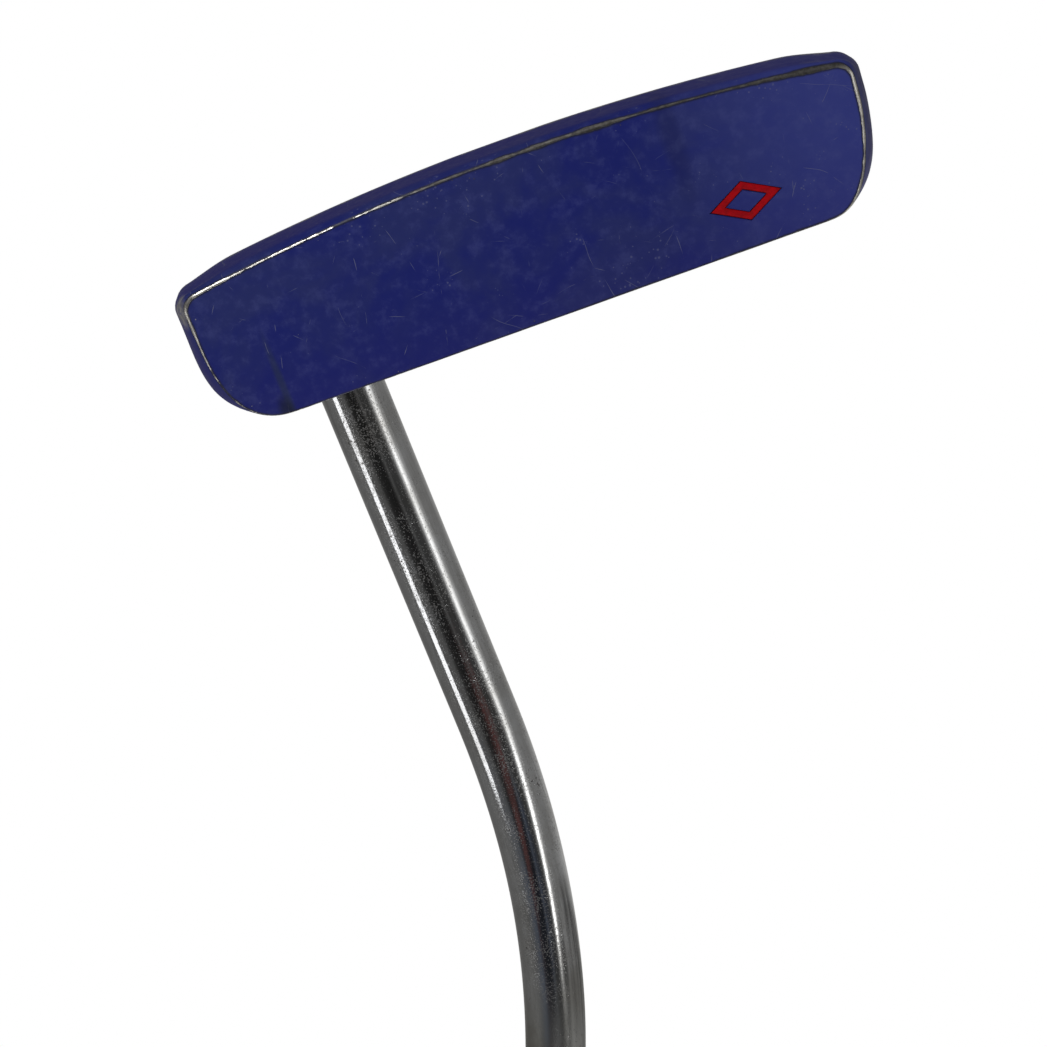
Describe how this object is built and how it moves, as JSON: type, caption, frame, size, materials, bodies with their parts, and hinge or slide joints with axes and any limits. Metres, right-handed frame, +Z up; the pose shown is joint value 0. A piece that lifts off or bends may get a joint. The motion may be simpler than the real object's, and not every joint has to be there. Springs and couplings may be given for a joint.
{
  "type": "mallet putter",
  "caption": "Right-handed mallet putter: a painted half-moon head with a flat striking face, a bent chrome shaft and a pistol-shaped rubber grip.",
  "frame": {"origin": "on the ground under the middle of the small flat that the sole rests on, with the putter soled at address", "axes": "+X runs from the toe to the heel and the golfer, -Y points at the target, +Z is up"},
  "size_m": [0.3368, 0.0652, 0.8463],
  "materials": {
    "blue_paint": "satin",
    "red_enamel": "gloss",
    "white_enamel": "gloss",
    "shaft_chrome": "polished",
    "epoxy": "satin",
    "plug_plastic": "matte",
    "tape": "matte",
    "grip_rubber": "matte",
    "cap_rubber": "satin"
  },
  "bodies": {
    "root": {"head_body": "blue_paint", "face_mark_fill": "red_enamel", "sight_line_flange": "white_enamel", "sight_line_crown": "white_enamel", "shaft": "shaft_chrome", "shaft_bond": "epoxy", "tip_plug": "plug_plastic", "grip_tape": "tape", "grip": "grip_rubber", "grip_cap": "cap_rubber"}
  },
  "joints": []
}
